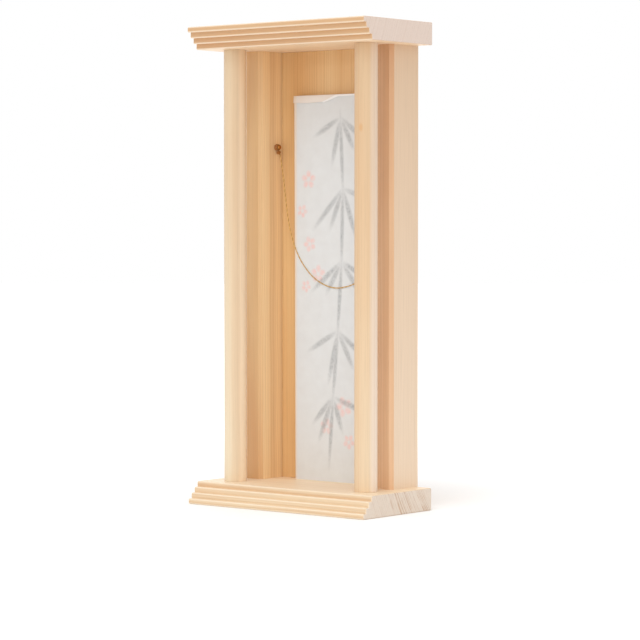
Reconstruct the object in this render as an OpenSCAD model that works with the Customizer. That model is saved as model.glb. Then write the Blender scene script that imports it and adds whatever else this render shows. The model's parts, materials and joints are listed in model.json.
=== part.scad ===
// A small household shrine of pale cypress: a stepped top board and a stepped base board held apart by
// two round columns and two chamfered side posts, with a panel let into the posts behind, a paper-wrapped
// talisman standing against the panel and a thin cord looped across it between two brass pins.
// Millimetres, +Z up, front towards -Y, origin at the middle of the footprint. The talisman sets the
// clear height and width, and the boards follow from those.

/* [Talisman] */
// height of the wrapped talisman
talisman_h = 245.7; // [200:0.1:300]
// width at its top
talisman_w = 65; // [52:0.5:80]
// how much narrower it is at its foot, on each side
talisman_taper = 1; // [0:0.1:3]
// thickness of the wrapped talisman
talisman_t = 4.8; // [3.5:0.1:7]
// thickness of the paper wrap
wrap_t = 0.4; // [0.3:0.1:0.8]

/* [Bay] */
// clear height above the talisman
head_room = 28.3; // [15:0.1:50]
// clear width between the talisman and each side post
side_room = 13.5; // [6:0.5:25]
// shelf in front of the columns
front_shelf = 18; // [14:0.5:40]
// gap between a column and the post behind it
column_gap = 9.5; // [4:0.5:25]

/* [Boards] */
// thickness of each board
board_t = 14; // [10:0.5:20]
// how far each board runs past the posts at the sides
side_overhang = 11; // [3:0.5:25]
// number of steps cut in the front edge of a board
step_count = 4; // [2:1:5]
// how far each step is set back from the one before
step_run = 2.75; // [1.5:0.25:3]
// radius of the rounded edge on each step
arris = 0.9; // [0.3:0.1:1.1]

/* [Columns] */
// diameter of the round columns
column_d = 14.3; // [10:0.1:20]
// diameter of the tenon at each end of a column
tenon_d = 8; // [5:0.5:9]
// length of that tenon
tenon_l = 6; // [3:0.5:8]

/* [Side posts] */
// thickness of a side post, across the shrine
post_t = 14; // [11:0.1:20]
// depth of a post, front to back
post_depth = 26.6; // [22:0.1:40]
// flat on both front edges of a post
post_chamfer = 2.25; // [0.5:0.05:3]
// thickness of the tongue at each end of a post
tongue_t = 5; // [4:0.5:6]
// front to back length of that tongue
tongue_w = 14; // [10:0.5:16]
// height of that tongue
tongue_l = 4; // [3:0.5:6]

/* [Back panel] */
// thickness of the back panel
panel_t = 5.2; // [3:0.1:7]
// how far the panel is let into each post
rebate = 4; // [2:0.5:5]

/* [Cord and pins] */
// diameter of the cord
cord_d = 0.7; // [0.5:0.1:1.5]
// height of the pins above the base board
pin_height = 213; // [180:1:235]
// shank diameter of a brass pin
pin_d = 1.2; // [1:0.1:1.6]
// how deep a pin goes into its post
pin_depth = 6; // [4:0.5:8]
// head diameter of a brass pin
pin_head_d = 3.2; // [2.4:0.1:4]
// thickness of that head
pin_head_t = 0.8; // [0.6:0.1:1.2]
// outside diameter of the turns of cord round a pin
coil_d = 4.1; // [3.5:0.1:5]
// number of those turns
coil_turns = 4; // [3:1:6]
// diameter of the knot under the turns
knot_d = 2.8; // [2.2:0.1:3.4]

/* [Hidden] */
$fn = 64;

inside_h = talisman_h + head_room;
height = inside_h + 2 * board_t;
post_inner = talisman_w / 2 + side_room;
post_outer = post_inner + post_t;
post_mid_x = post_inner + post_t / 2;
width = 2 * (post_outer + side_overhang);
depth = front_shelf + column_d + column_gap + post_depth;
front = -depth / 2;
rear = depth / 2;
step_rise = board_t / step_count;
column_y = front + front_shelf + column_d / 2;
post_front = rear - post_depth;
panel_front = rear - panel_t;
talisman_front = panel_front - talisman_t;
// the tongue sits midway between the front of its post and the panel
tongue_y = (post_front + panel_front) / 2;
// room round a tenon or tongue in its socket, and under it
fit_slack = 0.05;
end_slack = 0.5;
// room between the edge of the panel and its rebate
panel_slack = 0.1;
panel_half = post_inner + rebate - panel_slack;
// how far a cut runs past a face that it opens
past = 1;

// the middle of the cord where it lies on the talisman, and the pin a little in front of it
cord_y = talisman_front - cord_d / 2;
pin_y = cord_y - 1.35;
pin_z = board_t + pin_height;
// thickness of the cord where it is wound tight, and the width of the winding
strand = 0.9;
strand_pitch = 0.7;
coil_w = (coil_turns - 1) * strand_pitch + strand;
knot_x = post_inner - 2.1;
knot_y = cord_y - 0.6;
knot_z = pin_z - 3;
collar_d = cord_d + 0.4;
// points the cord passes, from the left pin to the right: across, and height
CORD = [
    [-43.4, 222.2], [-42.9, 219.6], [-42.2, 216], [-41.3, 211], [-40.4, 206], [-39.7, 201], [-39, 195.5],
    [-38.1, 189.5], [-37, 183], [-35.7, 176.5], [-33.8, 170.2], [-31.5, 164.2], [-28.7, 158.5],
    [-25.2, 153.2], [-21, 148.4], [-16.3, 144.2], [-11, 141], [-5.4, 138.7], [0, 137.5], [5, 137.3],
    [10, 138], [15, 139.2], [20, 141.4], [24.6, 144.8], [28.8, 149.2], [32.4, 154.6], [35.4, 161],
    [37.6, 168], [39.2, 176], [40.4, 184.5], [41.3, 193], [42, 201.5], [42.6, 210], [43.1, 217],
    [43.4, 222.2]
];
cord_end = CORD[len(CORD) - 1];

// quarter of a round edge about the point [x, z], from one bearing to another
function quarter(x, z, from, to) = [
    for (k = [0 : 4]) let (a = from + (to - from) * k / 4) [x + arris * cos(a), z + arris * sin(a)]
];

// side of a stepped board, front edge to the left, drawn in depth and height
module stepped_side() {
    polygon([
        each quarter(front + arris, arris, 270, 180),
        for (i = [0 : step_count - 1]) each [
            each quarter(front + i * step_run + arris, (i + 1) * step_rise - arris, 180, 90),
            if (i < step_count - 1) [front + (i + 1) * step_run, (i + 1) * step_rise]
        ],
        [rear, board_t],
        [rear, 0]
    ]);
}

// a board with its lowest step foremost, and the sockets for columns and posts in its upper face
module stepped_board() {
    tongue_hole_t = tongue_t + 2 * fit_slack;
    tongue_hole_w = tongue_w + 2 * fit_slack;
    difference() {
        rotate([90, 0, 90])
            translate([0, 0, -width / 2])
                linear_extrude(width) stepped_side();
        for (side = [-1, 1]) {
            translate([side * post_mid_x, column_y, board_t - tenon_l - end_slack])
                cylinder(d = tenon_d + 2 * fit_slack, h = tenon_l + end_slack + past);
            translate([
                side * post_mid_x - tongue_hole_t / 2,
                tongue_y - tongue_hole_w / 2,
                board_t - tongue_l - end_slack
            ])
                cube([tongue_hole_t, tongue_hole_w, tongue_l + end_slack + past]);
        }
    }
}

module base_board() {
    color("BurlyWood") stepped_board();
}

module top_board() {
    color("BurlyWood")
        translate([0, 0, height])
            mirror([0, 0, 1]) stepped_board();
}

// a round column standing between the boards, in line with its post, with a tenon in each board
module column(side) {
    color("Wheat")
        translate([side * post_mid_x, column_y, board_t]) {
            cylinder(d = column_d, h = inside_h);
            translate([0, 0, -tenon_l]) cylinder(d = tenon_d, h = inside_h + 2 * tenon_l);
        }
}

module column_left() {
    column(-1);
}

module column_right() {
    column(1);
}

// plan of the right-hand post: two flats in front, and the rebate for the panel at its inner rear edge
module post_plan() {
    polygon([
        [post_inner + post_chamfer, post_front],
        [post_outer - post_chamfer, post_front],
        [post_outer, post_front + post_chamfer],
        [post_outer, rear],
        [post_inner + rebate, rear],
        [post_inner + rebate, panel_front],
        [post_inner, panel_front],
        [post_inner, post_front + post_chamfer]
    ]);
}

module right_post() {
    difference() {
        union() {
            translate([0, 0, board_t]) linear_extrude(inside_h) post_plan();
            translate([post_mid_x - tongue_t / 2, tongue_y - tongue_w / 2, board_t - tongue_l])
                cube([tongue_t, tongue_w, inside_h + 2 * tongue_l]);
        }
        translate([post_inner - past, pin_y, pin_z])
            rotate([0, 90, 0]) cylinder(d = pin_d, h = pin_depth + past);
    }
}

module side_post_right() {
    color("BurlyWood") right_post();
}

module side_post_left() {
    color("BurlyWood") mirror([1, 0, 0]) right_post();
}

module back_panel() {
    color("Tan")
        translate([-panel_half, panel_front, board_t])
            cube([2 * panel_half, panel_t, inside_h]);
}

// a tapered upright slab against the panel, smaller by a margin than the wrapped talisman, that may
// run some way below its foot
module talisman_slab(margin, below = 0) {
    top = talisman_w / 2 - margin;
    foot = top - talisman_taper;
    translate([0, panel_front - margin, board_t])
        rotate([90, 0, 0])
            linear_extrude(talisman_t - 2 * margin)
                polygon([
                    if (below > 0) each [[-foot, -below], [foot, -below]],
                    [foot, 0],
                    [top, talisman_h - margin],
                    [-top, talisman_h - margin],
                    [-foot, 0]
                ]);
}

module talisman_board() {
    color("Wheat") talisman_slab(wrap_t);
}

// paper folded round the talisman and over its top, open at the foot
module talisman_wrap() {
    color("WhiteSmoke")
        difference() {
            talisman_slab(0);
            talisman_slab(wrap_t, past);
        }
}

// half the outline of a brass pin with a flat-topped domed head, point at the origin
module pin_half() {
    shank = pin_depth + coil_w;
    polygon([
        [0, 0],
        [pin_d / 2, 0],
        [pin_d / 2, shank],
        [pin_head_d / 2, shank],
        [pin_head_d / 2, shank + pin_head_t / 3],
        [pin_head_d / 2 - pin_head_t * 2 / 3, shank + pin_head_t],
        [0, shank + pin_head_t]
    ]);
}

// a pin driven into the inner face of the right-hand post
module right_pin() {
    translate([post_inner + pin_depth, pin_y, pin_z])
        rotate([0, -90, 0]) rotate_extrude() pin_half();
}

module cord_pin_right() {
    color("Goldenrod") right_pin();
}

module cord_pin_left() {
    color("Goldenrod") mirror([1, 0, 0]) right_pin();
}

// turns of cord round the right-hand pin, with the knot under them and a collar where the cord leaves
module right_knot() {
    ring_r = (coil_d - strand) / 2;
    translate([post_inner, pin_y, pin_z])
        rotate([0, -90, 0])
            difference() {
                union() {
                    cylinder(r = ring_r, h = coil_w);
                    for (k = [0 : coil_turns - 1])
                        translate([0, 0, strand / 2 + k * strand_pitch])
                            rotate_extrude() translate([ring_r, 0]) circle(d = strand);
                }
                translate([0, 0, -past]) cylinder(d = pin_d, h = coil_w + 2 * past);
            }
    translate([knot_x, knot_y, knot_z]) sphere(d = knot_d);
    translate([cord_end[0], cord_y, cord_end[1]]) cylinder(d = collar_d, h = knot_z - cord_end[1]);
}

module cord_knot_right() {
    color("Peru") right_knot();
}

module cord_knot_left() {
    color("Peru") mirror([1, 0, 0]) right_knot();
}

// each stretch between two of the cord's points is cut in this many, along a smooth curve
CORD_CUTS = 2;
CORD_SIDES = 8;

// the smooth curve through four points in a row, between the middle two, at a share of the way
function smooth(a, b, c, d, t) = 0.5 * (
    2 * b + (c - a) * t + (2 * a - 5 * b + 4 * c - d) * t * t + (3 * b - 3 * c + d - a) * t * t * t
);

CORD_LINE = [
    for (i = [0 : len(CORD) - 2]) for (k = [0 : CORD_CUTS - 1])
        smooth(CORD[max(i - 1, 0)], CORD[i], CORD[i + 1], CORD[min(i + 2, len(CORD) - 1)], k / CORD_CUTS),
    cord_end
];

// direction of the cord at one of its rings: straight down or up where it meets a knot
function cord_run(i) = let (
    last = len(CORD_LINE) - 1,
    run = CORD_LINE[min(i + 1, last)] - CORD_LINE[max(i - 1, 0)]
) i == 0 ? [0, -1] : i == last ? [0, 1] : run / norm(run);

function cord_ring(i) = [
    for (k = [0 : CORD_SIDES - 1]) let (
        bearing = (k + 0.5) * 360 / CORD_SIDES,
        run = cord_run(i),
        across = cord_d / 2 * cos(bearing)
    ) [
        CORD_LINE[i][0] + across * run[1],
        cord_y + cord_d / 2 * sin(bearing),
        CORD_LINE[i][1] - across * run[0]
    ]
];

module holding_cord() {
    last = len(CORD_LINE) - 1;
    color("Peru")
        polyhedron(
            points = [for (i = [0 : last]) each cord_ring(i)],
            faces = [
                [for (k = [0 : CORD_SIDES - 1]) k],
                for (i = [0 : last - 1]) for (k = [0 : CORD_SIDES - 1]) let (
                    a = CORD_SIDES * i + k,
                    b = CORD_SIDES * i + (k + 1) % CORD_SIDES
                ) [a, a + CORD_SIDES, b + CORD_SIDES, b],
                [for (k = [CORD_SIDES - 1 : -1 : 0]) CORD_SIDES * last + k]
            ]
        );
}

base_board();
top_board();
column_left();
column_right();
side_post_left();
side_post_right();
back_panel();
talisman_board();
talisman_wrap();
cord_pin_left();
cord_pin_right();
cord_knot_left();
cord_knot_right();
holding_cord();
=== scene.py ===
"""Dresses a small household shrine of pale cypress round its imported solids.

The frame gives every size and place. Each class below shapes and finishes one sub-assembly, in metres and in the
frame's axes: +Z up, the open front towards -Y, and the middle of the footprint at the origin.
"""

import json
import logging
import math
from collections.abc import Callable
from dataclasses import dataclass, field
from enum import Enum

import bmesh
import bpy
from mathutils import Matrix, Vector
from mathutils.kdtree import KDTree

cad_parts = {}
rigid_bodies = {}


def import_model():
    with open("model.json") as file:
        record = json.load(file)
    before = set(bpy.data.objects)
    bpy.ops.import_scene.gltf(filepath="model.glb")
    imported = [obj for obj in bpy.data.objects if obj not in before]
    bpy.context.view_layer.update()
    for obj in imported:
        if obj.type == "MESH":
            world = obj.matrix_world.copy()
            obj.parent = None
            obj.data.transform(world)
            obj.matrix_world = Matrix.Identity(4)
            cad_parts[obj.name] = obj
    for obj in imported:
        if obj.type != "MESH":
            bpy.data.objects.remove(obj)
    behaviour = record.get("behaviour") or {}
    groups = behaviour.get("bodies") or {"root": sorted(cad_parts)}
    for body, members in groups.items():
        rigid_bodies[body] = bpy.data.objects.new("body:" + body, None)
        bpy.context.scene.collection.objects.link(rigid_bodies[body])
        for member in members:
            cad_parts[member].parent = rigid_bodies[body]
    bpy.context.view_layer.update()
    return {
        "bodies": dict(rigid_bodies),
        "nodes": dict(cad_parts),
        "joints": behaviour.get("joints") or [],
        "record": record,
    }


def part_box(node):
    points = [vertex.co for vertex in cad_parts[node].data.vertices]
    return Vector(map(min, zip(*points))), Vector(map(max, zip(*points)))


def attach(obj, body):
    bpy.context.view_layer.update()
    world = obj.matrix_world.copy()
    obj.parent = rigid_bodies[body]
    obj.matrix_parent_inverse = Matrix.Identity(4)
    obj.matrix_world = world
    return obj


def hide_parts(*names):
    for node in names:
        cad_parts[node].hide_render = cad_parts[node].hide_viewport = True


LOG = logging.getLogger("shrine")
MM = 0.001
ROOT = "root"
CROWN = "ply_crown"
Colour = tuple[float, float, float, float]


def linear(code: str) -> Colour:
    """Turns a colour written for the screen into the linear one that shaders use.

    Args:
        code: sRGB colour as "#RRGGBB".

    Returns:
        Linear red, green, blue and an alpha of 1.
    """
    channels = [int(code[i : i + 2], 16) / 255 for i in (1, 3, 5)]
    curve = [c / 12.92 if c <= 0.04045 else ((c + 0.055) / 1.055) ** 2.4 for c in channels]
    return (curve[0], curve[1], curve[2], 1.0)


def add(
    tree: bpy.types.NodeTree,
    kind: str,
    inputs: dict[str | int, object] | None = None,
    stops: list[tuple[float, Colour]] | None = None,
    **settings: object,
) -> bpy.types.Node:
    """Adds one node to a material or world, with its settings, values and links.

    Args:
        tree: the node tree that gets the node.
        kind: the node's type, such as "ShaderNodeMath".
        inputs: socket name or number to a value, or to the socket that feeds it.
        stops: for a colour ramp, its (position, colour) pairs.
        settings: the node's own properties.

    Returns:
        The new node.
    """
    node = tree.nodes.new(kind)
    for key, value in settings.items():
        setattr(node, key, value)
    for key, value in (inputs or {}).items():
        socket = node.inputs[key]
        if isinstance(value, bpy.types.NodeSocket):
            tree.links.new(value, socket)
        else:
            socket.default_value = value
    if stops:
        elements = node.color_ramp.elements
        while len(elements) < len(stops):
            elements.new(1.0)
        for element, (position, colour) in zip(elements, stops):
            element.position = position
            element.color = colour
    return node


def grey(value: float) -> Colour:
    """A linear grey, for ramps that carry a factor."""
    return (value, value, value, 1.0)


def blank_material(name: str) -> tuple[bpy.types.Material, bpy.types.NodeTree, bpy.types.Node]:
    """Makes a material that holds only its surface shader.

    Args:
        name: what the material is.

    Returns:
        The material, its tree and its Principled shader.
    """
    material = bpy.data.materials.new(name)
    material.use_nodes = True
    tree = material.node_tree
    tree.nodes.clear()
    shader = add(tree, "ShaderNodeBsdfPrincipled")
    add(tree, "ShaderNodeOutputMaterial", {"Surface": shader.outputs["BSDF"]})
    return material, tree, shader


class Grain(Enum):
    """Which way the fibres of a wooden piece run, and the turn that brings them upright."""

    UPRIGHT = (0.0, 0.0, 0.0)
    SIDEWAYS = (0.0, -math.pi / 2, 0.0)

    @property
    def axis(self) -> str:
        """The output of Separate XYZ that lies along the fibres."""
        return "Z" if self is Grain.UPRIGHT else "X"


class LitFacing(Enum):
    """Which way the faces that get painted light and sheen look, as an output of Separate XYZ."""

    SIDE = "X"
    LEVEL = "Z"


@dataclass(frozen=True)
class CornerShade:
    """Painted shade where a face runs into a corner at a joint: an axis of the frame, how far along it, how wide, how
    dark.
    """

    axis: str
    at_mm: float
    width_mm: float
    depth: float
    # it shows only nearer than this to the middle, left and right, and only in front of this
    inside_mm: float
    front_mm: float = 1e6
    # the painted shade's colour, a red brown
    colour: str = "#8C5426"


@dataclass(frozen=True)
class PlanedCypress:
    """Air-dried cypress, planed and left bare.

    The wood is pale, with a soft sheen. Thin tan lines of late wood part wide bands of cream early wood, the fibres
    give fine streaks along each face, and the ends of the fibres look cooler and greyer than the faces. Faces that look
    along one axis can be made paler, with fainter rings, as painted light and sheen.
    """

    name: str
    grain: Grain
    pith_mm: tuple[float, float]
    early: str = "#EFD2AC"
    late: str = "#CE9860"
    blush: str = "#EBC094"
    end_early: str = "#EADDCF"
    end_late: str = "#D3B79C"
    ring_mm: float = 1.7
    # how far good and poor years push the rings together and apart, in rings
    ring_drift: float = 5.0
    ring_depth: float = 0.55
    end_depth: float = 0.6
    flow_mm: float = 1.8
    # one wave of the flow along the fibres
    wave_mm: float = 220.0
    # painted highlight on the eased arrises between front and level faces: how strong it is, and its colour
    arris_highlight_share: float = 0.0
    arris_highlight: str = "#FFF0D8"
    # faces that look along this axis get a paler colour and fainter rings: painted light and sheen
    lit_facing: LitFacing | None = None
    lit_face_colour: str = "#F4DCBC"
    # how much of the rings shows under the painted light and sheen on those faces
    lit_face_rings: float = 1.0
    # middle of a pin knot, in the frame's millimetres, and its half width and half height
    knot_mm: tuple[float, float, float] | None = None
    knot_size_mm: tuple[float, float] = (1.4, 2.8)
    knot: str = "#D99A55"
    # past this distance from the pith the rings fade out on the ends
    sapwood_mm: float = 1e6
    # how much the saw has torn the rings on the ends into flecks, and how long a fleck is
    torn: float = 0.0
    fleck_mm: float = 8.0
    # painted shade where the face runs into a corner at a joint
    corner_shade: CornerShade | None = None
    # how strongly the piece gets painted light from the table at its foot and painted shade under the top board towards
    # its head
    upward_shade: float = 0.0
    # multipliers for the painted light at the foot and the painted shade at the head
    foot: Colour = (1.07, 1.1, 1.14, 1.0)
    head: Colour = (0.87, 0.81, 0.75, 1.0)
    fibre_mm: float = 0.35
    fibre_run_mm: float = 22.0
    roughness: float = 0.42
    specular: float = 0.5
    nap: float = 0.12
    seed: float = 0.0

    def material(self) -> bpy.types.Material:
        """The finish as a material: rings round a pith line that runs with the fibres."""
        material, tree, shader = blank_material(f"planed_cypress_{self.name}")
        place = add(tree, "ShaderNodeTexCoord")
        turned = add(
            tree,
            "ShaderNodeMapping",
            {
                "Vector": place.outputs["Object"],
                "Scale": (1 / MM, 1 / MM, 1 / MM),
                "Rotation": self.grain.value,
                "Location": (-self.pith_mm[0], -self.pith_mm[1], 40 * self.seed),
            },
        ).outputs["Vector"]
        rings = self.rings(tree, turned)
        fibres = self.fibres(tree, turned)
        wide = add(tree, "ShaderNodeVectorMath", {0: turned, 1: (1 / 26, 1 / 26, 1 / 150)}, operation="MULTIPLY")
        broad = add(tree, "ShaderNodeTexNoise", {"Vector": wide.outputs[0], "Scale": 1.0, "Detail": 2.0}).outputs["Fac"]
        ends = self.end_mask(tree, place)
        face = self.face_colour(tree, place, rings, broad)
        across = add(tree, "ShaderNodeVectorMath", {0: turned, 1: (1.0, 1.0, 0.0)}, operation="MULTIPLY").outputs[0]
        radius = add(tree, "ShaderNodeVectorMath", {0: across}, operation="LENGTH").outputs["Value"]
        depth = add(
            tree,
            "ShaderNodeMapRange",
            {
                "Value": radius,
                "From Min": self.sapwood_mm,
                "From Max": self.sapwood_mm + 30,
                "To Min": self.end_depth,
                "To Max": 0.15 * self.end_depth,
            },
        ).outputs["Result"]
        if self.torn:
            depth = self.flecks(tree, turned, depth)
        sawn = add(
            tree, "ShaderNodeMath", {0: rings, 1: depth}, operation="MULTIPLY", use_clamp=True
        ).outputs[0]
        end = add(
            tree,
            "ShaderNodeMix",
            {"Factor": sawn, 6: linear(self.end_early), 7: linear(self.end_late)},
            data_type="RGBA",
        ).outputs[2]
        wood = add(tree, "ShaderNodeMix", {"Factor": ends, 6: face, 7: end}, data_type="RGBA").outputs[2]
        streaks = add(
            tree,
            "ShaderNodeValToRGB",
            {"Fac": fibres},
            stops=[(0.25, grey(0.86)), (0.5, grey(0.97)), (0.75, grey(1.0))],
        ).outputs["Color"]
        colour = add(
            tree,
            "ShaderNodeMix",
            {"Factor": 0.75, 6: wood, 7: streaks},
            data_type="RGBA",
            blend_type="MULTIPLY",
        ).outputs[2]
        if self.knot_mm:
            colour = self.pin_knot(tree, place, colour)
        # painted shade in the corner at a joint
        if self.corner_shade:
            colour = self.paint_corner_shade(tree, place, colour, self.corner_shade)
        # painted light at the foot and painted shade towards the head
        if self.upward_shade:
            colour = self.paint_upward_shade(tree, place, colour)
        relief = add(tree, "ShaderNodeMath", {0: fibres, 1: rings}, operation="ADD").outputs[0]
        bump = add(tree, "ShaderNodeBump", {"Strength": 0.35, "Distance": 0.06 * MM, "Height": relief})
        tree.links.new(colour, shader.inputs["Base Color"])
        tree.links.new(bump.outputs["Normal"], shader.inputs["Normal"])
        shader.inputs["Roughness"].default_value = self.roughness
        shader.inputs["Specular IOR Level"].default_value = self.specular
        shader.inputs["Sheen Weight"].default_value = self.nap
        return material

    def pin_knot(
        self, tree: bpy.types.NodeTree, place: bpy.types.Node, wood: bpy.types.NodeSocket
    ) -> bpy.types.NodeSocket:
        """Browns the wood softly round one small knot.

        Args:
            tree: the material's tree.
            place: its texture coordinates.
            wood: the colour without the knot.

        Returns:
            The colour with it.
        """
        wide, high = self.knot_size_mm
        local = add(
            tree,
            "ShaderNodeMapping",
            {
                "Vector": place.outputs["Object"],
                "Location": tuple(v * MM for v in self.knot_mm),
                "Scale": (wide * MM, wide * MM, high * MM),
            },
            vector_type="TEXTURE",
        ).outputs[0]
        away = add(tree, "ShaderNodeVectorMath", {0: local}, operation="LENGTH").outputs["Value"]
        near = add(
            tree,
            "ShaderNodeMapRange",
            {"Value": away, "From Min": 1.3, "From Max": 0.3, "To Max": 0.4},
            interpolation_type="SMOOTHSTEP",
        ).outputs["Result"]
        return add(
            tree, "ShaderNodeMix", {"Factor": near, 6: wood, 7: linear(self.knot)}, data_type="RGBA"
        ).outputs[2]

    def paint_upward_shade(
        self, tree: bpy.types.NodeTree, place: bpy.types.Node, wood: bpy.types.NodeSocket
    ) -> bpy.types.NodeSocket:
        """Paints light at an upright piece's foot and shade towards its head.

        Args:
            tree: the material's tree.
            place: its texture coordinates.
            wood: the colour without the change.

        Returns:
            The colour with it.
        """
        parts = add(tree, "ShaderNodeSeparateXYZ", {"Vector": place.outputs["Object"]})
        rise = add(
            tree, "ShaderNodeMapRange", {"Value": parts.outputs["Z"], "From Min": 14 * MM, "From Max": 288 * MM}
        ).outputs["Result"]
        tint = add(tree, "ShaderNodeMix", {"Factor": rise, 6: self.foot, 7: self.head}, data_type="RGBA").outputs[2]
        return add(
            tree,
            "ShaderNodeMix",
            {"Factor": self.upward_shade, 6: wood, 7: tint},
            data_type="RGBA",
            blend_type="MULTIPLY",
        ).outputs[2]

    def flecks(
        self, tree: bpy.types.NodeTree, place: bpy.types.NodeSocket, depth: bpy.types.NodeSocket
    ) -> bpy.types.NodeSocket:
        """Breaks the rings on the ends into darker and fainter lengths.

        Args:
            tree: the material's tree.
            place: the point in millimetres from the pith, fibres upright.
            depth: how dark the rings are.

        Returns:
            The same, fleck by fleck.
        """
        size = 1 / self.fleck_mm
        spots = add(tree, "ShaderNodeVectorMath", {0: place, 1: (size, size, 0.0)}, operation="MULTIPLY").outputs[0]
        noise = add(
            tree, "ShaderNodeTexNoise", {"Vector": spots, "Scale": 1.0, "Detail": 3.0, "Distortion": 0.8}
        ).outputs["Fac"]
        share = add(
            tree,
            "ShaderNodeMapRange",
            {
                "Value": noise,
                "From Min": 0.4,
                "From Max": 0.62,
                "To Min": 1 - self.torn,
                "To Max": 1 + self.torn,
            },
        ).outputs["Result"]
        return add(tree, "ShaderNodeMath", {0: depth, 1: share}, operation="MULTIPLY").outputs[0]

    def paint_corner_shade(
        self, tree: bpy.types.NodeTree, place: bpy.types.Node, wood: bpy.types.NodeSocket, corner_shade: CornerShade
    ) -> bpy.types.NodeSocket:
        """Paints shade on the wood where it runs into the corner at a joint.

        Args:
            tree: the material's tree.
            place: its texture coordinates.
            wood: the colour without the painted shade.
            corner_shade: where the joint lies.

        Returns:
            The colour with it.
        """
        parts = add(tree, "ShaderNodeSeparateXYZ", {"Vector": place.outputs["Object"]})
        across = add(tree, "ShaderNodeMath", {0: parts.outputs[corner_shade.axis]}, operation="ABSOLUTE").outputs[0]
        near = add(
            tree,
            "ShaderNodeMapRange",
            {
                "Value": across,
                "From Min": (corner_shade.at_mm - corner_shade.width_mm) * MM,
                "From Max": corner_shade.at_mm * MM,
                "To Max": corner_shade.depth,
            },
            interpolation_type="SMOOTHSTEP",
        ).outputs["Result"]
        side = add(tree, "ShaderNodeMath", {0: parts.outputs["X"]}, operation="ABSOLUTE").outputs[0]
        inside = add(tree, "ShaderNodeMath", {0: side, 1: corner_shade.inside_mm * MM}, operation="LESS_THAN").outputs[0]
        ahead = add(
            tree, "ShaderNodeMath", {0: parts.outputs["Y"], 1: corner_shade.front_mm * MM}, operation="LESS_THAN"
        ).outputs[0]
        both = add(tree, "ShaderNodeMath", {0: inside, 1: ahead}, operation="MULTIPLY").outputs[0]
        share = add(tree, "ShaderNodeMath", {0: near, 1: both}, operation="MULTIPLY").outputs[0]
        return add(
            tree, "ShaderNodeMix", {"Factor": share, 6: wood, 7: linear(corner_shade.colour)}, data_type="RGBA"
        ).outputs[2]

    def rings(self, tree: bpy.types.NodeTree, place: bpy.types.NodeSocket) -> bpy.types.NodeSocket:
        """Late wood at each growth ring, pale again at once where the next year starts.

        Args:
            tree: the material's tree.
            place: the point in millimetres from the pith, fibres upright.

        Returns:
            A factor from 0, early wood, to 1, the darkest of the late wood.
        """
        wide = add(tree, "ShaderNodeVectorMath", {0: place, 1: (1 / 45, 1 / 45, 1 / self.wave_mm)}, operation="MULTIPLY")
        drift = add(tree, "ShaderNodeTexNoise", {"Vector": wide.outputs[0], "Scale": 1.0, "Detail": 2.0}).outputs["Color"]
        centred = add(
            tree, "ShaderNodeVectorMath", {0: drift, 1: (0.5, 0.5, 0.5)}, operation="SUBTRACT"
        ).outputs[0]
        moved = add(
            tree,
            "ShaderNodeVectorMath",
            {0: centred, 1: (self.flow_mm, self.flow_mm, 0.0), 2: place},
            operation="MULTIPLY_ADD",
        ).outputs[0]
        flat = add(tree, "ShaderNodeVectorMath", {0: moved, 1: (1.0, 1.0, 0.0)}, operation="MULTIPLY").outputs[0]
        radius = add(tree, "ShaderNodeVectorMath", {0: flat}, operation="LENGTH").outputs["Value"]
        years = add(tree, "ShaderNodeMath", {0: radius, 1: 1 / self.ring_mm}, operation="MULTIPLY").outputs[0]
        spell = add(
            tree,
            "ShaderNodeTexNoise",
            {"W": years, "Scale": 0.23, "Detail": 3.0},
            noise_dimensions="1D",
        ).outputs["Fac"]
        uneven = add(tree, "ShaderNodeMath", {0: spell, 1: self.ring_drift, 2: years}, operation="MULTIPLY_ADD").outputs[0]
        part = add(tree, "ShaderNodeMath", {0: uneven}, operation="FRACT").outputs[0]
        line = add(
            tree,
            "ShaderNodeValToRGB",
            {"Fac": part},
            stops=[(0.0, grey(0.12)), (0.12, grey(0.0)), (0.55, grey(0.1)), (0.86, grey(0.75)), (0.95, grey(0.9)), (1.0, grey(0.12))],
        ).outputs["Color"]
        strength = add(
            tree,
            "ShaderNodeMapRange",
            {"Value": spell, "From Min": 0.3, "From Max": 0.7, "To Min": 0.35, "To Max": 1.0},
        ).outputs["Result"]
        return add(tree, "ShaderNodeMath", {0: line, 1: strength}, operation="MULTIPLY").outputs[0]

    def fibres(self, tree: bpy.types.NodeTree, place: bpy.types.NodeSocket) -> bpy.types.NodeSocket:
        """Fine streaks that run with the fibres, as wide as a few of them so that they show."""
        across = 1 / self.fibre_mm
        drawn = add(
            tree,
            "ShaderNodeVectorMath",
            {0: place, 1: (across, across, 1 / self.fibre_run_mm)},
            operation="MULTIPLY",
        ).outputs[0]
        return add(
            tree, "ShaderNodeTexNoise", {"Vector": drawn, "Scale": 0.5, "Detail": 3.0, "Roughness": 0.6}
        ).outputs["Fac"]

    def end_mask(self, tree: bpy.types.NodeTree, place: bpy.types.Node) -> bpy.types.NodeSocket:
        """1 where a face cuts across the fibres, 0 where it lies along them."""
        parts = add(tree, "ShaderNodeSeparateXYZ", {"Vector": place.outputs["Normal"]})
        facing = add(tree, "ShaderNodeMath", {0: parts.outputs[self.grain.axis]}, operation="ABSOLUTE").outputs[0]
        return add(
            tree, "ShaderNodeMapRange", {"Value": facing, "From Min": 0.6, "From Max": 0.85}
        ).outputs["Result"]

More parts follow.
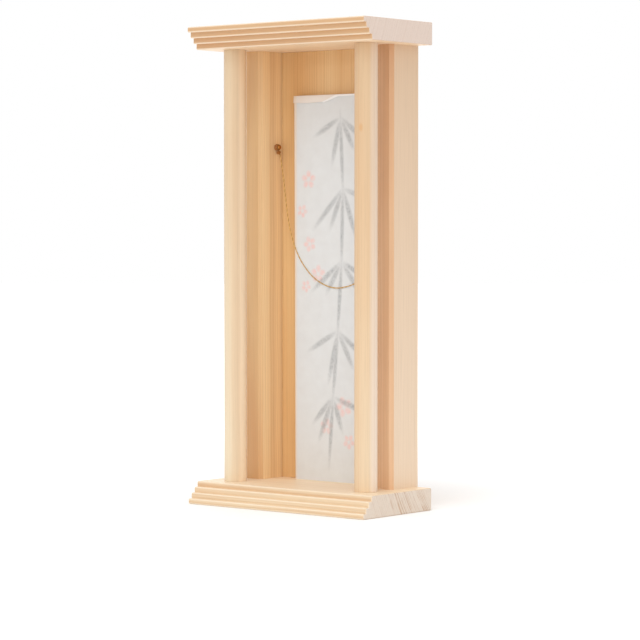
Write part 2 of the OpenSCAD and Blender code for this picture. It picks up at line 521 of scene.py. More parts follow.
    def face_colour(
        self,
        tree: bpy.types.NodeTree,
        place: bpy.types.Node,
        rings: bpy.types.NodeSocket,
        broad: bpy.types.NodeSocket,
    ) -> bpy.types.NodeSocket:
        """Cream to tan along the rings, with a warmer blush in broad soft patches.

        Args:
            tree: the material's tree.
            place: its texture coordinates.
            rings: 0 in early wood, 1 in late wood.
            broad: soft noise for the patches.

        Returns:
            The colour of a face that lies along the fibres.
        """
        tint = add(
            tree,
            "ShaderNodeMapRange",
            {"Value": broad, "From Min": 0.35, "From Max": 0.7, "To Max": 0.8},
        ).outputs["Result"]
        ground = add(
            tree,
            "ShaderNodeMix",
            {"Factor": tint, 6: linear(self.early), 7: linear(self.blush)},
            data_type="RGBA",
        ).outputs[2]
        depth = add(tree, "ShaderNodeMath", {0: rings, 1: self.ring_depth}, operation="MULTIPLY").outputs[0]
        parts = add(tree, "ShaderNodeSeparateXYZ", {"Vector": place.outputs["Normal"]})
        # painted light and sheen: faces that look along one axis are paler, and their rings fainter
        if self.lit_facing:
            facing = add(
                tree, "ShaderNodeMath", {0: parts.outputs[self.lit_facing.value]}, operation="ABSOLUTE"
            ).outputs[0]
            lit_share = add(
                tree, "ShaderNodeMapRange", {"Value": facing, "From Min": 0.8, "From Max": 0.97}
            ).outputs["Result"]
            ground = add(
                tree, "ShaderNodeMix", {"Factor": lit_share, 6: ground, 7: linear(self.lit_face_colour)}, data_type="RGBA"
            ).outputs[2]
            calm = add(tree, "ShaderNodeMapRange", {"Value": lit_share, "To Min": 1.0, "To Max": self.lit_face_rings})
            depth = add(
                tree, "ShaderNodeMath", {0: depth, 1: calm.outputs["Result"]}, operation="MULTIPLY"
            ).outputs[0]
        lined = add(
            tree, "ShaderNodeMix", {"Factor": depth, 6: ground, 7: linear(self.late)}, data_type="RGBA"
        ).outputs[2]
        if not self.arris_highlight_share:
            return lined
        # painted highlight: an eased arris between a front and a level face is paler than the planed faces on its two
        # sides
        turned = add(
            tree, "ShaderNodeMath", {0: parts.outputs["Y"], 1: parts.outputs["Z"]}, operation="MULTIPLY"
        ).outputs[0]
        slope = add(tree, "ShaderNodeMath", {0: turned}, operation="ABSOLUTE").outputs[0]
        share = add(
            tree, "ShaderNodeMath", {0: slope, 1: 2 * self.arris_highlight_share}, operation="MULTIPLY", use_clamp=True
        ).outputs[0]
        return add(
            tree, "ShaderNodeMix", {"Factor": share, 6: lined, 7: linear(self.arris_highlight)}, data_type="RGBA"
        ).outputs[2]


@dataclass(frozen=True)
class Mark:
    """One soft oval brush mark: its middle, its half length and width, and its lean, in millimetres and degrees."""

    across: float
    height: float
    half_length: float
    half_width: float
    lean: float


@dataclass(frozen=True)
class WashiPaper:
    """Thin handmade paper over a painted sheet: matt, cool white, with faint long fibres.

    A spray of bamboo in grey ink and plum blossom in pale red show through it, as softly as through a veil.
    """

    name: str = "handmade_washi_paper"
    paper: str = "#E0E2E2"
    shade: str = "#D5D5D4"
    ink: str = "#A4A6A7"
    red: str = "#EDBFB8"
    roughness: float = 0.85
    specular: float = 0.2
    # the wrapping overlaps along the left edge, which looks warmer there, where two layers lie on the wood
    overlap_mm: float = -30.0
    overlap: str = "#E9DACA"
    # bamboo: joints of the stem, then the leaves that hang from each joint
    stem: tuple[tuple[float, float], ...] = ((-3, 26), (0, 68), (4, 110), (7, 154), (8, 200), (6, 245))
    leaf_leans: tuple[float, ...] = (-128, -158, 152, 118)
    leaf_mm: tuple[float, float] = (12.5, 1.9)
    # plum blossom: middle of each flower, and the length of its petals
    blossoms: tuple[tuple[float, float, float], ...] = (
        (-20, 206, 4.6),
        (-25, 186, 3.4),
        (-19, 165, 4.0),
        (-12, 146, 4.6),
        (-22, 138, 3.2),
        (9, 62, 5.2),
        (-5, 49, 4.2),
        (13, 40, 3.8),
    )

    def bamboo(self) -> list[Mark]:
        """The brush marks of the stem and its leaves."""
        marks = []
        for (x, z), (x2, z2) in zip(self.stem, self.stem[1:]):
            run = math.hypot(x2 - x, z2 - z)
            lean = math.degrees(math.atan2(x2 - x, z2 - z))
            marks.append(Mark((x + x2) / 2, (z + z2) / 2, run / 2 - 0.6, 1.5, lean))
        for step, (x, z) in enumerate(self.stem[1:]):
            for k, lean in enumerate(self.leaf_leans):
                turned = lean + 9 * ((step * 2 + k) % 3 - 1)
                reach = self.leaf_mm[0] * (0.8 + 0.13 * ((step + 2 * k) % 4))
                middle = reach + 2.5
                marks.append(
                    Mark(
                        x + middle * math.sin(math.radians(turned)),
                        z + middle * math.cos(math.radians(turned)),
                        reach,
                        self.leaf_mm[1],
                        turned,
                    )
                )
        return marks

    def plum(self) -> list[Mark]:
        """The five round petals of each flower."""
        marks = []
        for n, (x, z, size) in enumerate(self.blossoms):
            for k in range(5):
                lean = 72 * k + 25 * n
                away = 0.75 * size
                marks.append(
                    Mark(
                        x + away * math.sin(math.radians(lean)),
                        z + away * math.cos(math.radians(lean)),
                        0.5 * size,
                        0.42 * size,
                        lean,
                    )
                )
        return marks

    def painted(
        self, tree: bpy.types.NodeTree, place: bpy.types.NodeSocket, marks: list[Mark]
    ) -> bpy.types.NodeSocket:
        """Where any of the marks lies, with soft edges.

        Args:
            tree: the material's tree.
            place: the point in millimetres.
            marks: the brush marks.

        Returns:
            A factor from 0, bare, to 1, in the middle of a mark.
        """
        nearest = None
        for mark in marks:
            local = add(
                tree,
                "ShaderNodeMapping",
                {
                    "Vector": place,
                    "Location": (mark.across, 0, mark.height),
                    "Rotation": (0, math.radians(mark.lean), 0),
                    "Scale": (mark.half_width, 1e6, mark.half_length),
                },
                vector_type="TEXTURE",
            ).outputs[0]
            away = add(tree, "ShaderNodeVectorMath", {0: local}, operation="LENGTH").outputs["Value"]
            if nearest is None:
                nearest = away
            else:
                nearest = add(tree, "ShaderNodeMath", {0: nearest, 1: away}, operation="MINIMUM").outputs[0]
        return add(
            tree,
            "ShaderNodeMapRange",
            {"Value": nearest, "From Min": 1.45, "From Max": 0.35},
            interpolation_type="SMOOTHSTEP",
        ).outputs["Result"]

    def material(self) -> bpy.types.Material:
        """The paper with its cloudy formation, its fibres and what shows through it."""
        material, tree, shader = blank_material(self.name)
        place = add(tree, "ShaderNodeTexCoord").outputs["Object"]
        point = add(tree, "ShaderNodeMapping", {"Vector": place, "Scale": (1 / MM, 1 / MM, 1 / MM)}).outputs[0]
        cloud = add(
            tree, "ShaderNodeTexNoise", {"Vector": point, "Scale": 0.12, "Detail": 4.0, "Roughness": 0.6}
        ).outputs["Fac"]
        fibre = add(
            tree, "ShaderNodeTexNoise", {"Vector": point, "Scale": 1.1, "Detail": 2.0, "Distortion": 2.5}
        ).outputs["Fac"]
        colour = add(
            tree,
            "ShaderNodeMix",
            {"Factor": cloud, 6: linear(self.paper), 7: linear(self.shade)},
            data_type="RGBA",
        ).outputs[2]
        parts = add(tree, "ShaderNodeSeparateXYZ", {"Vector": point})
        lapped = add(
            tree,
            "ShaderNodeMapRange",
            {"Value": parts.outputs["X"], "From Min": self.overlap_mm + 0.8, "From Max": self.overlap_mm - 0.8},
        ).outputs["Result"]
        colour = add(
            tree, "ShaderNodeMix", {"Factor": lapped, 6: colour, 7: linear(self.overlap)}, data_type="RGBA"
        ).outputs[2]
        # the sheet's fibres break the brush marks up
        veil = add(
            tree,
            "ShaderNodeMapRange",
            {"Value": fibre, "From Min": 0.36, "From Max": 0.62, "To Min": 0.1, "To Max": 1.0},
        ).outputs["Result"]
        for marks, tint in ((self.plum(), self.red), (self.bamboo(), self.ink)):
            if not marks:
                continue
            drawn = add(
                tree, "ShaderNodeMath", {0: self.painted(tree, point, marks), 1: veil}, operation="MULTIPLY"
            ).outputs[0]
            colour = add(
                tree, "ShaderNodeMix", {"Factor": drawn, 6: colour, 7: linear(tint)}, data_type="RGBA"
            ).outputs[2]
        bump = add(tree, "ShaderNodeBump", {"Strength": 0.25, "Distance": 0.08 * MM, "Height": fibre})
        tree.links.new(colour, shader.inputs["Base Color"])
        tree.links.new(bump.outputs["Normal"], shader.inputs["Normal"])
        shader.inputs["Roughness"].default_value = self.roughness
        shader.inputs["Specular IOR Level"].default_value = self.specular
        return material


@dataclass(frozen=True)
class TwistedThread:
    """Waxed linen thread, golden brown, of two plies with a dull sheen, and painted shade in the groove between them.
    """

    name: str = "waxed_linen_thread"
    light: str = "#FAD283"
    dark: str = "#D3A04C"
    # painted shade in the groove between the plies
    groove: str = "#74431A"
    roughness: float = 0.5

    def material(self) -> bpy.types.Material:
        """The thread, mottled along its plies."""
        material, tree, shader = blank_material(self.name)
        place = add(tree, "ShaderNodeTexCoord").outputs["Object"]
        mottle = add(tree, "ShaderNodeTexNoise", {"Vector": place, "Scale": 1 / (0.5 * MM), "Detail": 3.0}).outputs["Fac"]
        colour = add(
            tree,
            "ShaderNodeMix",
            {"Factor": mottle, 6: linear(self.dark), 7: linear(self.light)},
            data_type="RGBA",
        ).outputs[2]
        crown = add(tree, "ShaderNodeAttribute", attribute_name=CROWN).outputs["Fac"]
        # painted shade: the groove between the plies is dark
        colour = add(
            tree, "ShaderNodeMix", {"Factor": crown, 6: linear(self.groove), 7: colour}, data_type="RGBA"
        ).outputs[2]
        bump = add(tree, "ShaderNodeBump", {"Strength": 0.4, "Distance": 0.03 * MM, "Height": mottle})
        tree.links.new(colour, shader.inputs["Base Color"])
        tree.links.new(bump.outputs["Normal"], shader.inputs["Normal"])
        shader.inputs["Roughness"].default_value = self.roughness
        return material


@dataclass(frozen=True)
class DullBrass:
    """Stamped brass that has browned with handling: warm metal with a soft, broken reflection."""

    name: str = "dull_brass"
    bright: str = "#C98F4A"
    brown: str = "#8E5A2A"
    roughness: float = 0.38

    def material(self) -> bpy.types.Material:
        """The brass, browned in small patches."""
        material, tree, shader = blank_material(self.name)
        place = add(tree, "ShaderNodeTexCoord").outputs["Object"]
        patches = add(tree, "ShaderNodeTexNoise", {"Vector": place, "Scale": 1 / (1.2 * MM), "Detail": 4.0}).outputs["Fac"]
        colour = add(
            tree,
            "ShaderNodeMix",
            {"Factor": patches, 6: linear(self.brown), 7: linear(self.bright)},
            data_type="RGBA",
        ).outputs[2]
        tree.links.new(colour, shader.inputs["Base Color"])
        shader.inputs["Metallic"].default_value = 1.0
        shader.inputs["Roughness"].default_value = self.roughness
        return material


def finish_mesh(name: str, mesh: bmesh.types.BMesh, material: bpy.types.Material) -> bpy.types.Object:
    """Turns a finished bmesh into a piece of the object.

    Args:
        name: the piece's name.
        mesh: the shape, in metres, in the frame's axes. It is freed.
        material: its finish.

    Returns:
        The piece, riding on the root body.
    """
    data = bpy.data.meshes.new(name)
    mesh.to_mesh(data)
    mesh.free()
    data.materials.append(material)
    data.shade_smooth()
    data.set_sharp_from_angle(angle=math.radians(35))
    piece = bpy.data.objects.new(name, data)
    bpy.context.scene.collection.objects.link(piece)
    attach(piece, ROOT)
    return piece


@dataclass
class WoodPiece:
    """One wooden piece: its solid from the frame, with planed edges just broken, in its own cut of cypress."""

    node: str
    slot: str
    finish: PlanedCypress
    edge_mm: float = 0.25
    end_mm: float = 0.0

    def build(self, frame: dict) -> bpy.types.Object:
        """Copies the solid, eases its outer edges and gives it its wood.


        Returns:
            The piece that stands for the node.
        """
        shape = bmesh.new()
        shape.from_mesh(frame["nodes"][self.node].data)
        bmesh.ops.remove_doubles(shape, verts=shape.verts, dist=0.001 * MM)
        bmesh.ops.dissolve_limit(
            shape, angle_limit=math.radians(0.5), verts=shape.verts, edges=shape.edges
        )
        reach = max(v.co.x for v in shape.verts)
        if self.end_mm:
            self.ease(shape, self.end_mm, 4, lambda e: all(abs(v.co.x) > reach - 0.01 * MM for v in e.verts))
            self.ease(shape, self.edge_mm, 2, lambda e: all(abs(v.co.x) < reach - 0.8 * MM for v in e.verts))
        else:
            self.ease(shape, self.edge_mm, 2, lambda e: True)
        piece = finish_mesh(f"{self.node}_wood", shape, self.finish.material())
        # keeps the planed faces flat to the light, with all the turn of the surface in the eased edges
        flat = piece.modifiers.new("flat_faces", "WEIGHTED_NORMAL")
        flat.keep_sharp = True
        flat.weight = 100
        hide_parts(self.node)
        LOG.info("%s: %d faces", piece.name, len(piece.data.polygons))
        return piece

    def ease(
        self,
        shape: bmesh.types.BMesh,
        width_mm: float,
        segments: int,
        wanted: Callable[[bmesh.types.BMEdge], bool],
    ) -> None:
        """Rounds the sharp outer edges that a test picks.

        Args:
            shape: the piece.
            width_mm: how far the rounding reaches from the edge.
            segments: its steps.
            wanted: says whether an edge is to be rounded.
        """
        edges = [
            e for e in shape.edges if e.is_convex and e.calc_face_angle(0.0) > math.radians(40) and wanted(e)
        ]
        bmesh.ops.bevel(
            shape,
            geom=edges,
            offset=width_mm * MM,
            segments=segments,
            profile=0.5,
            affect="EDGES",
            clamp_overlap=True,
            material=-1,
        )


@dataclass
class Woodwork:
    """The two stepped boards, the columns, the posts and the back panel."""

    pieces: list[WoodPiece] = field(
        default_factory=lambda: [
            WoodPiece(
                "base_board",
                "board_wood",
                PlanedCypress(
                    "base",
                    Grain.SIDEWAYS,
                    (-114.0, 194.0),
                    early="#EAD4B2",
                    blush="#E4C5A0",
                    end_early="#E4D4C3",
                    end_late="#B58250",
                    end_depth=0.75,
                    torn=0.6,
                    flow_mm=4.0,
                    arris_highlight_share=0.6,
                    lit_facing=LitFacing.LEVEL,
                    lit_face_colour="#FBE2BE",
                    sapwood_mm=215.0,
                    seed=1,
                ),
                end_mm=0.9,
            ),
            WoodPiece(
                "top_board",
                "board_wood",
                PlanedCypress(
                    "top",
                    Grain.SIDEWAYS,
                    (-130.0, 400.0),
                    # darker than the base board: painted shade on the step fronts, shaded by the overhangs from the
                    # light above
                    early="#D3AC80",
                    blush="#C99768",
                    end_early="#DFCBBD",
                    end_late="#CFB29E",
                    end_depth=0.5,
                    flow_mm=4.0,
                    arris_highlight_share=0.7,
                    lit_facing=LitFacing.LEVEL,
                    lit_face_colour="#FFE0B8",
                    seed=2,
                ),
                end_mm=0.6,
            ),
            WoodPiece(
                "column_left",
                "column_wood",
                PlanedCypress(
                    "left_column",
                    Grain.UPRIGHT,
                    (-90.0, 30.0),
                    early="#E7D5B6",
                    blush="#E2C8A6",
                    lit_facing=LitFacing.SIDE,
                    lit_face_colour="#F9DFBD",
                    upward_shade=0.8,
                    seed=3,
                ),
            ),
            WoodPiece(
                "column_right",
                "column_wood",
                PlanedCypress(
                    "right_column",
                    Grain.UPRIGHT,
                    (95.0, -60.0),
                    early="#E2C9A6",
                    blush="#DEBA91",
                    lit_facing=LitFacing.SIDE,
                    lit_face_colour="#EAD4BD",
                    lit_face_rings=0.6,
                    upward_shade=1.0,
                    knot_mm=(54.4, -15.9, 236.4),
                    seed=4,
                ),
            ),
            WoodPiece(
                "side_post_left",
                "post_wood",
                PlanedCypress(
                    "left_post",
                    Grain.UPRIGHT,
                    (-110.0, -145.0),
                    early="#EAC490",
                    blush="#DDAA74",
                    late="#C08546",
                    lit_facing=LitFacing.SIDE,
                    lit_face_colour="#FEDCAA",
                    ring_mm=2.6,
                    ring_drift=9.0,
                    ring_depth=0.5,
                    flow_mm=5.0,
                    wave_mm=80.0,
                    corner_shade=CornerShade("Y", 29.0, 5.0, 0.22, inside_mm=46.3),
                    seed=5,
                ),
            ),
            WoodPiece(
                "side_post_right",
                "post_wood",
                PlanedCypress(
                    "right_post",
                    Grain.UPRIGHT,
                    (142.0, -190.0),
                    early="#E6BD94",
                    blush="#DAA67A",
                    late="#C08D5B",
                    ring_mm=2.2,
                    ring_depth=0.75,
                    lit_facing=LitFacing.SIDE,
                    lit_face_rings=0.15,
                    lit_face_colour="#E7CCAE",
                    upward_shade=1.0,
                    seed=6,
                ),
            ),
            WoodPiece(
                "back_panel",
                "panel_wood",
                PlanedCypress(
                    "panel",
                    Grain.UPRIGHT,
                    (-210.0, 60.0),
                    early="#E9C38D",
                    blush="#DEAD73",
                    ring_mm=1.5,
                    ring_drift=3.0,
                    ring_depth=0.75,
                    corner_shade=CornerShade("X", 46.2, 0.7, 0.6, inside_mm=46.3, front_mm=29.3),
                    seed=7,
                ),
            ),
        ]
    )

    def build(self, frame: dict) -> None:
        """Builds every wooden piece."""
        for piece in self.pieces:
            piece.build(frame)


@dataclass
class Talisman:
    """The thin board and the paper folded round it."""

    corner_mm: float = 1.1
    taper_mm: float = 1.0
    cut_mm: float = 4.0
    wave_mm: float = 0.12
    # outlines from the talisman's top left corner, across and down: the wrapping's folded end, and its curled rim
    fold_mm: tuple[tuple[float, float], ...] = ((0.5, 0.2), (35.0, 0.2), (24.2, 4.6), (12.0, 5.0), (0.5, 4.6))
    rim_mm: tuple[tuple[float, float], ...] = (
        (35.0, 0.2), (64.2, 0.2), (64.3, 0.9), (50.0, 1.2), (36.5, 1.4), (25.6, 5.1), (24.2, 4.6),
    )
    fold_t_mm: float = 0.25
    fold_lift_mm: float = 0.6

    def build(self, frame: dict) -> None:
        """Builds the paper and gives the board its wood.
        """
        paper = WashiPaper().material()
        board = frame["nodes"]["talisman_board"]
        board.data.materials.clear()
        board.data.materials.append(PlanedCypress("talisman", Grain.UPRIGHT, (10.0, 80.0), seed=8).material())
        low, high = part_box("talisman_wrap")
        shape = bmesh.new()
        bmesh.ops.create_cube(shape, size=1.0)
        centre = (low + high) / 2
        span = high - low
        bmesh.ops.transform(
            shape, matrix=Matrix.Translation(centre) @ Matrix.Diagonal((*span, 1.0)), verts=shape.verts
        )
        for vertex in shape.verts:
            if vertex.co.z < centre.z:
                vertex.co.x -= math.copysign(self.taper_mm * MM, vertex.co.x)
        edges = [e for e in shape.edges if max(v.co.z for v in e.verts) > centre.z]
        bmesh.ops.bevel(
            shape,
            geom=edges,
            offset=self.corner_mm * MM,
            segments=4,
            profile=0.5,
            affect="EDGES",
            clamp_overlap=True,
            material=-1,
        )
        for axis, direction in ((0, Vector((1, 0, 0))), (2, Vector((0, 0, 1)))):
            steps = int(span[axis] / (self.cut_mm * MM))
            for k in range(1, steps):
                point = low + direction * (k / steps * span[axis])
                bmesh.ops.bisect_plane(
                    shape,
                    geom=shape.verts[:] + shape.edges[:] + shape.faces[:],
                    dist=1e-7,
                    plane_co=point,
                    plane_no=direction,
                )
        for vertex in shape.verts:
            if vertex.co.y < centre.y:
                vertex.co.y += self.wave_mm * MM * self.wave(vertex.co)
        piece = finish_mesh("talisman_paper", shape, paper)
        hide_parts("talisman_wrap")
        LOG.info("%s: %d faces", piece.name, len(piece.data.polygons))
        # two layers thick, so warmer than the single sheet below
        double = WashiPaper("folded_washi_paper", "#EDE5DE", "#E6DCD3", stem=(), blossoms=()).material()
        self.fold("talisman_fold", self.fold_mm, low, high, double)
        # the curled rim of the wrapping; its whiter paper is painted highlight where the curl catches the light
        torn = WashiPaper("washi_rim_painted_highlight", "#F6F5F4", "#EEECEA", stem=(), blossoms=()).material()
        self.fold("talisman_rim", self.rim_mm, low, high, torn)

    def fold(
        self,
        name: str,
        outline_mm: tuple[tuple[float, float], ...],
        low: Vector,
        high: Vector,
        paper: bpy.types.Material,
    ) -> None:
        """Adds a flap of the wrapping that lies on the front and lifts a little at its free edge.

        Args:
            name: the piece's name.
            outline_mm: its outline from the wrapping's top left corner, across and down.
            low: the wrapping's lowest corner.
            high: its highest corner.
            paper: its material.
        """
        shape = bmesh.new()
        corners = [
            shape.verts.new((low.x + x * MM, low.y, high.z - z * MM)) for x, z in outline_mm
        ]
        face = shape.faces.new(corners)
        grown = bmesh.ops.extrude_face_region(shape, geom=[face])
        outer = [v for v in grown["geom"] if isinstance(v, bmesh.types.BMVert)]
        for vertex in outer:
            drop = (high.z - vertex.co.z) / (self.fold_mm[3][1] * MM)
            vertex.co.y -= (self.fold_t_mm + self.fold_lift_mm * drop) * MM
        bmesh.ops.recalc_face_normals(shape, faces=shape.faces)
        bmesh.ops.bevel(
            shape,
            geom=shape.edges[:],
            offset=0.05 * MM,
            segments=2,
            profile=0.5,
            affect="EDGES",
            clamp_overlap=True,
            material=-1,
        )
        piece = finish_mesh(name, shape, paper)
        LOG.info("%s: %d faces", piece.name, len(piece.data.polygons))

    def wave(self, point: Vector) -> float:
        """How far the paper stands off the board's flat at a point, from 0 to 1."""
        across = math.sin(point.x / (21 * MM) + 0.6) * math.sin(point.z / (37 * MM))
        small = math.sin(point.x / (7 * MM) + point.z / (11 * MM))
        return 0.5 + 0.35 * across + 0.15 * small


@dataclass
class CordLoop:
    """The cord from pin to pin, its turns and knots, and the two pins."""

    # the cord's route from the left pin to the right: across, and height, in millimetres
    route_mm: tuple[tuple[float, float], ...] = (
        (-43.4, 222.2), (-42.9, 219.6), (-42.2, 216), (-41.3, 211), (-40.4, 206), (-39.7, 201), (-39, 195.5),
        (-38.1, 189.5), (-37, 183), (-35.7, 176.5), (-33.8, 170.2), (-31.5, 164.2), (-28.7, 158.5),
        (-25.2, 153.2), (-21, 148.4), (-16.3, 144.2), (-11, 141), (-5.4, 138.7), (0, 137.5), (5, 137.3),
        (10, 138), (15, 139.2), (20, 141.4), (24.6, 144.8), (28.8, 149.2), (32.4, 154.6), (35.4, 161),
        (37.6, 168), (39.2, 176), (40.4, 184.5), (41.3, 193), (42, 201.5), (42.6, 210), (43.1, 217),
        (43.4, 222.2),
    )
    cord_mm: float = 0.7
    wound_mm: float = 0.9
    # a full turn of the two plies, and how deep the groove between them is, as a share of the radius
    lay_mm: float = 6.4
    groove: float = 0.5
    cuts: int = 24
    coil_turns: float = 4.0
    knot_turns: float = 2.25
    knot_r_mm: float = 1.15

    def build(self, frame: dict) -> None:
        thread = TwistedThread().material()
        # the knots are in a darker, browner thread than the cord, with the same painted shade in its grooves
        knot_thread = TwistedThread("knot_linen_thread", "#D08A3E", "#9C5A1E", "#7A4416", 0.38).material()
        brass = DullBrass().material()
        cord_low, cord_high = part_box("holding_cord")
        cord_y = (cord_low.y + cord_high.y) / 2
        line = self.smooth_line(cord_y)
        cord = self.sweep("holding_cord_thread", line, self.cord_mm, thread)
        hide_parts("holding_cord")
        for side, name in ((-1, "left"), (1, "right")):
            pin = frame["nodes"][f"cord_pin_{name}"]
            pin.data.materials.clear()
            pin.data.materials.append(brass)
            knot = self.sweep(f"cord_knot_{name}_thread", self.knot_line(side, line), self.wound_mm, knot_thread)
            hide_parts(f"cord_knot_{name}")

    def smooth_line(self, cord_y: float) -> list[Vector]:
        """The cord's centreline: a smooth curve through the route's points.

        Args:
            cord_y: where the cord's middle lies, front to back.

        Returns:
            Points a fraction of a millimetre apart, from the left knot to the right.
        """
        points = [Vector((x * MM, cord_y, z * MM)) for x, z in self.route_mm]
        padded = [points[0], *points, points[-1]]
        line = []
        for a, b, c, d in zip(padded, padded[1:], padded[2:], padded[3:]):
            for k in range(self.cuts):
                t = k / self.cuts
                line.append(
                    0.5
                    * (
                        2 * b
                        + (c - a) * t
                        + (2 * a - 5 * b + 4 * c - d) * t * t
                        + (3 * b - 3 * c + d - a) * t**3
                    )
                )
        return [*line, points[-1]]

    def knot_line(self, side: int, line: list[Vector]) -> list[Vector]:
        """The thread's path through one knot and round its pin.

        Args:
            side: -1 for the left knot and 1 for the right.
            line: the cord's centreline.

        Returns:
            Points from the end of the cord, up through the knot and round the pin to the post.
        """
        name = "left" if side < 0 else "right"
        low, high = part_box(f"cord_knot_{name}")
        end = line[0] if side < 0 else line[-1]
        wall = low.x if side < 0 else high.x
        pin_low, pin_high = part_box(f"cord_pin_{name}")
        pin = (pin_low + pin_high) / 2
        coil_r = high.z - pin.z - self.wound_mm * MM / 2
        knot = Vector((end.x + side * 0.7 * MM, end.y - 0.6 * MM, end.z + 1.5 * MM))
        path = [end.copy()]
        steps = 56
        for k in range(steps + 1):
            share = k / steps
            bearing = math.radians(70) + share * self.knot_turns * 2 * math.pi
            radius = self.knot_r_mm * MM * (0.7 + 0.3 * math.sin(math.pi * share))
            path.append(
                knot
                + Vector(
                    (-side * radius * math.cos(bearing), radius * math.sin(bearing), (share - 0.5) * 1.8 * MM)
                )
            )
        steps = 112
        for k in range(steps + 1):
            share = k / steps
            bearing = -math.pi / 2 + share * self.coil_turns * 2 * math.pi
            path.append(
                Vector(
                    (
                        wall - side * (2.55 - 2.05 * share) * MM,
                        pin.y + coil_r * math.cos(bearing),
                        pin.z + coil_r * math.sin(bearing),
                    )
                )
            )
        return path

    def sweep(
        self, name: str, line: list[Vector], width_mm: float, material: bpy.types.Material
    ) -> bpy.types.Object:
        """Sweeps a twisted, plied thread along a line.

        Args:
            name: the piece's name.
            line: its centreline.
            width_mm: its diameter.
            material: its finish.

        Returns:
            The thread as a closed mesh.
        """
        outline = bpy.data.curves.new(f"{name}_outline", "CURVE")
        outline.dimensions = "2D"
        spline = outline.splines.new("POLY")
        sides = 14
        spline.points.add(sides - 1)
        spline.use_cyclic_u = True
        radius = width_mm * MM / 2
        for k, point in enumerate(spline.points):
            bearing = 2 * math.pi * k / sides
            reach = radius * (1 - self.groove * (1 - abs(math.cos(bearing))))
            point.co = (reach * math.cos(bearing), reach * math.sin(bearing), 0.0, 1.0)
        profile = bpy.data.objects.new(f"{name}_outline", outline)
        bpy.context.scene.collection.objects.link(profile)
        path = bpy.data.curves.new(f"{name}_path", "CURVE")
        path.dimensions = "3D"
        path.bevel_mode = "OBJECT"
        path.bevel_object = profile
        path.use_fill_caps = True
        route = path.splines.new("POLY")
        route.points.add(len(line) - 1)
        run = 0.0
        for k, point in enumerate(route.points):
            run += (line[k] - line[k - 1]).length if k else 0.0
            point.co = (*line[k], 1.0)
            point.tilt = run / (self.lay_mm * MM) * 2 * math.pi
        carrier = bpy.data.objects.new(f"{name}_path", path)
        bpy.context.scene.collection.objects.link(carrier)
        bpy.context.view_layer.update()
        swept = carrier.evaluated_get(bpy.context.evaluated_depsgraph_get()).to_mesh()
        shape = bmesh.new()
        shape.from_mesh(swept)
        bmesh.ops.remove_doubles(shape, verts=shape.verts, dist=0.0005 * MM)
        bmesh.ops.recalc_face_normals(shape, faces=shape.faces)
        near = KDTree(len(line))
        for k, point in enumerate(line):
            near.insert(point, k)
        near.balance()
        crown = shape.verts.layers.float.new(CROWN)
        for vertex in shape.verts:
            rise = near.find(vertex.co)[2] / radius - 1 + self.groove
            vertex[crown] = min(1.0, max(0.0, rise / self.groove))
        for used in (carrier, profile):
            bpy.data.objects.remove(used)
        piece = finish_mesh(name, shape, material)
        LOG.info("%s: %d faces", piece.name, len(piece.data.polygons))
        return piece


@dataclass(frozen=True)
class Lamp:
    """One soft square lamp that faces the shrine.

    Its bearing is in degrees from the front towards the right, and its height in degrees above the horizon.
    """

    name: str
    azimuth: float
    elevation: float
    power: float
    distance: float = 2.2
    size: float = 1.4

    def hang(self) -> None:
        """Puts the lamp in the scene."""
        data = bpy.data.lights.new(self.name, "AREA")
        data.size = self.size
        data.energy = self.power
        lamp = bpy.data.objects.new(self.name, data)
        a, e = math.radians(self.azimuth), math.radians(self.elevation)
        away = Vector((math.sin(a) * math.cos(e), -math.cos(a) * math.cos(e), math.sin(e)))
        lamp.location = Vector((0, 0, 0.15)) + away * self.distance
        lamp.rotation_euler = (-away).to_track_quat("-Z", "Y").to_euler()
        bpy.context.scene.collection.objects.link(lamp)


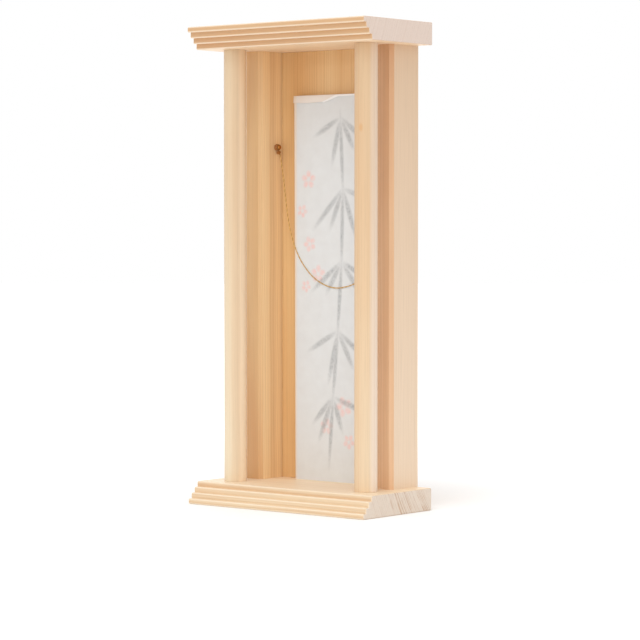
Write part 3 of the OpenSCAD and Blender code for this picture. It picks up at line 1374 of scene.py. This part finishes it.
@dataclass
class Studio:
    """A white table under soft light, and the camera that took the photograph."""

    # the point the camera looks at, how far off it stands and its lens, on a 36 mm wide film
    target_mm: tuple[float, float, float] = (8.6, 0.8, 117.8)
    distance_mm: float = 1592.45
    azimuth_deg: float = 39.301
    pitch_deg: float = 2.156
    focal_px: float = 2548.27
    frame_px: int = 640
    film_mm: float = 36.0
    surround: float = 0.77
    # light that the table adds for the eye alone, by the shrine and away from it
    fill_near: float = 0.08
    fill_far: float = 0.6
    lamps: tuple[Lamp, ...] = (
        Lamp("right_side", 105, 34, 2.5),
        Lamp("left_rear", -130, 20, 4.0),
        Lamp("right_front", 50, 14, 3.2),
        Lamp("above", 15, 50, 44.0, distance=4.0, size=2.5),
        Lamp("front", 28, 4, 4.2),
        Lamp("left_front", -26, 12, 1.6, size=0.12),
    )

    def camera(self) -> None:
        """Sets up the camera at the photograph's viewing angle."""
        azimuth, pitch = math.radians(self.azimuth_deg), math.radians(self.pitch_deg)
        forward = Vector(
            (-math.sin(azimuth) * math.cos(pitch), math.cos(azimuth) * math.cos(pitch), -math.sin(pitch))
        )
        data = bpy.data.cameras.new("camera")
        data.sensor_width = self.film_mm
        data.lens = self.focal_px * self.film_mm / self.frame_px
        data.clip_start, data.clip_end = 0.05, 50.0
        camera = bpy.data.objects.new("camera", data)
        camera.location = Vector(self.target_mm) * MM - forward * (self.distance_mm * MM)
        camera.rotation_euler = forward.to_track_quat("-Z", "Y").to_euler()
        bpy.context.scene.collection.objects.link(camera)
        bpy.context.scene.camera = camera

    def world(self, strength: float) -> None:
        """A white surround: full white to the camera and to shine, and softer as light."""
        world = bpy.data.worlds.new("studio")
        bpy.context.scene.world = world
        world.use_nodes = True
        tree = world.node_tree
        tree.nodes.clear()
        path = add(tree, "ShaderNodeLightPath")
        seen = add(
            tree,
            "ShaderNodeMath",
            {0: path.outputs["Is Camera Ray"], 1: path.outputs["Is Glossy Ray"]},
            operation="MAXIMUM",
        ).outputs[0]
        shown = add(
            tree, "ShaderNodeMath", {0: seen, 1: path.outputs["Is Transmission Ray"]}, operation="MAXIMUM"
        ).outputs[0]
        level = add(
            tree, "ShaderNodeMapRange", {"Value": shown, "To Min": strength, "To Max": 1.0}
        ).outputs["Result"]
        background = add(tree, "ShaderNodeBackground", {"Color": (1, 1, 1, 1), "Strength": level})
        add(tree, "ShaderNodeOutputWorld", {"Surface": background.outputs[0]})

    def floor(self) -> None:
        """A wide white table top that keeps the shrine's shadow."""
        shape = bmesh.new()
        bmesh.ops.create_circle(shape, cap_ends=True, segments=96, radius=6.0)
        data = bpy.data.meshes.new("table_top")
        shape.to_mesh(data)
        shape.free()
        material = bpy.data.materials.new("white_laminate_table")
        material.use_nodes = True
        tree = material.node_tree
        tree.nodes.clear()
        path = add(tree, "ShaderNodeLightPath")
        seen = add(
            tree,
            "ShaderNodeMath",
            {0: path.outputs["Is Camera Ray"], 1: path.outputs["Is Glossy Ray"]},
            operation="MAXIMUM",
        ).outputs[0]
        shown = add(
            tree, "ShaderNodeMath", {0: seen, 1: path.outputs["Is Transmission Ray"]}, operation="MAXIMUM"
        ).outputs[0]
        # the lamps fall off away from the shrine, and the table is kept white to the eye there
        place = add(tree, "ShaderNodeTexCoord").outputs["Object"]
        far = add(tree, "ShaderNodeVectorMath", {0: place}, operation="LENGTH").outputs["Value"]
        fill = add(
            tree,
            "ShaderNodeMapRange",
            {"Value": far, "From Min": 0.1, "From Max": 0.6, "To Min": self.fill_near, "To Max": self.fill_far},
        ).outputs["Result"]
        glow = add(tree, "ShaderNodeMath", {0: shown, 1: fill}, operation="MULTIPLY").outputs[0]
        matt = add(tree, "ShaderNodeBsdfDiffuse", {"Color": linear("#FCFCFC")})
        light = add(tree, "ShaderNodeEmission", {"Color": (1, 1, 1, 1), "Strength": glow})
        both = add(tree, "ShaderNodeAddShader", {0: matt.outputs[0], 1: light.outputs[0]})
        add(tree, "ShaderNodeOutputMaterial", {"Surface": both.outputs[0]})
        data.materials.append(material)
        top = bpy.data.objects.new("table_top", data)
        top.location.z = -0.02 * MM
        bpy.context.scene.collection.objects.link(top)

    def build(self) -> None:
        """Sets up camera, surround, table and lamps."""
        self.camera()
        self.world(self.surround)
        self.floor()
        for lamp in self.lamps:
            lamp.hang()
        view = bpy.context.scene.view_settings
        view.view_transform = "Standard"


def main() -> None:
    """Builds the studio and every sub-assembly."""
    logging.basicConfig(level=logging.INFO, format="%(name)s: %(message)s")
    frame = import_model()
    Studio().build()
    CordLoop().build(frame)
    Talisman().build(frame)
    Woodwork().build(frame)


if __name__ == "__main__":
    main()
